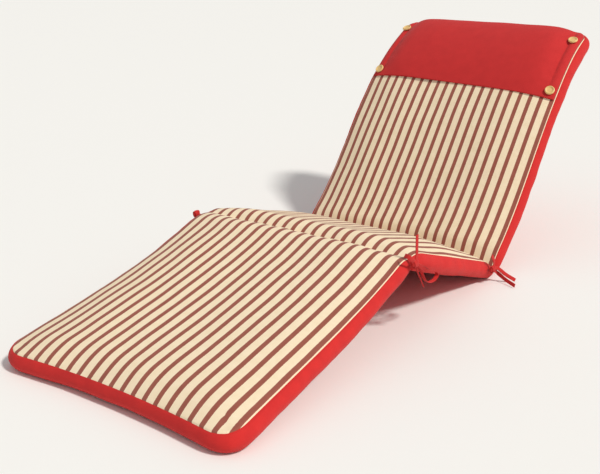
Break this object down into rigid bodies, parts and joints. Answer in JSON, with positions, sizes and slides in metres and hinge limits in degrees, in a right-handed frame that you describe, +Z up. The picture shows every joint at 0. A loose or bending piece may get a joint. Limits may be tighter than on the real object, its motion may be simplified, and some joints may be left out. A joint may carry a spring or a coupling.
{
  "type": "sun lounger cushion",
  "caption": "Long box cushion in sections for a reclining sun lounger, with striped top cloth, plain border, stuffed head pad, buttons and knotted ties, folded to a raised-back pose.",
  "frame": {"origin": "on the floor, under the middle of the cushion's length and width", "axes": "+X from the foot end to the head end, +Y across to the side away from the viewer of the picture, +Z up"},
  "size_m": [1.6911, 0.7664, 0.5918],
  "materials": {
    "striped_cover": "matt woven cloth, cream with narrow brick-red stripes",
    "red_cloth": "matt plain woven cloth",
    "button_wood": "satin turned wood"
  },
  "bodies": {
    "root": {"cushion": "striped_cover", "head_pad": "red_cloth", "button_near_low": "button_wood", "button_near_top": "button_wood", "button_far_low": "button_wood", "button_far_top": "button_wood", "tie_knee_near": "red_cloth", "tie_hip_near": "red_cloth", "tie_knee_far": "red_cloth", "tie_hip_far": "red_cloth"}
  },
  "joints": []
}
